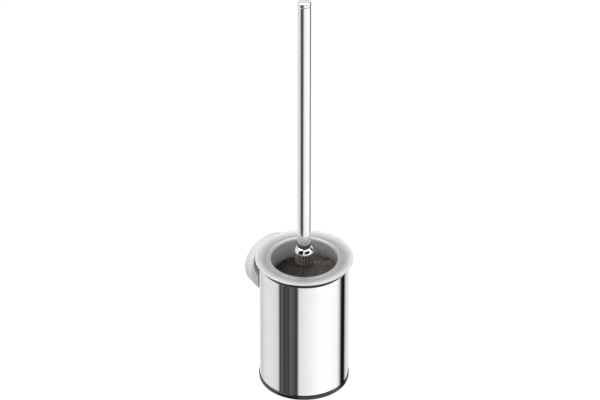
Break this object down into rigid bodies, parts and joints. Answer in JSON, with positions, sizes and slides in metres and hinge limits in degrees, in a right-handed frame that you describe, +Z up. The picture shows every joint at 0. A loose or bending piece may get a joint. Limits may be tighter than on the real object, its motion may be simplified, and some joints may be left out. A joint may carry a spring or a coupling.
{
  "type": "toilet brush holder",
  "caption": "Wall-hung toilet brush set: chromed tube on a round wall rosette, lift-out frosted insert, and a brush with a chromed rod handle.",
  "frame": {"origin": "centre of the face of the wall plate that lies against the wall", "axes": "+Z up, along the handle; +Y into the wall, so the tube hangs out along -Y; +X to the right for a person who faces the wall"},
  "size_m": [0.088, 0.105, 0.3984],
  "materials": {
    "chrome": "polished",
    "steel": "satin",
    "brass": "satin",
    "frosted_glass": "satin",
    "black_plastic": "gloss",
    "core_plastic": "satin",
    "black_rubber": "matte",
    "white_nylon": "satin",
    "bristle": "matte"
  },
  "bodies": {
    "holder": {"wall_plate": "steel", "rosette": "chrome", "grub_screw": "steel", "mounting_post": "chrome", "saddle_washer": "white_nylon", "mounting_bolt": "steel", "lock_washer": "steel", "hex_nut": "steel", "outer_tube": "chrome", "base_cap": "black_plastic", "seal_ring": "black_rubber"},
    "insert": {"glass_insert": "frosted_glass"},
    "brush_head": {"brush_core": "core_plastic", "collar": "chrome", "thread_stud": "steel", "bristle_ring_1": "bristle", "bristle_ring_2": "bristle", "bristle_ring_3": "bristle", "bristle_ring_4": "bristle", "bristle_ring_5": "bristle", "bristle_ring_6": "bristle", "bristle_ring_7": "bristle", "bristle_ring_8": "bristle", "bristle_ring_9": "bristle", "bristle_foot": "bristle"},
    "neck_washer": {"neck_washer": "white_nylon"},
    "handle": {"handle_rod": "chrome", "handle_cap": "chrome", "thread_bush": "brass"}
  },
  "joints": [
    {"name": "insert_lift", "type": "slide", "parent": "holder", "child": "insert", "axis": [0, 0, 1], "range_m": [0, 0.12]},
    {"name": "brush_lift", "type": "slide", "parent": "insert", "child": "brush_head", "axis": [0, 0, 1], "range_m": [0, 0.12]},
    {"name": "handle_rise", "type": "slide", "parent": "brush_head", "child": "neck_washer", "axis": [0, 0, 1], "range_m": [0, 0.006]},
    {"name": "handle_turn", "type": "hinge", "parent": "neck_washer", "child": "handle", "pos_m": [0, -0.061, 0.053], "axis": [0, 0, 1], "range_deg": [0, 2161]}
  ],
  "couplings": [
    {"joint": "handle_turn", "follows": "handle_rise", "rad_per_m": 6283.2}
  ]
}
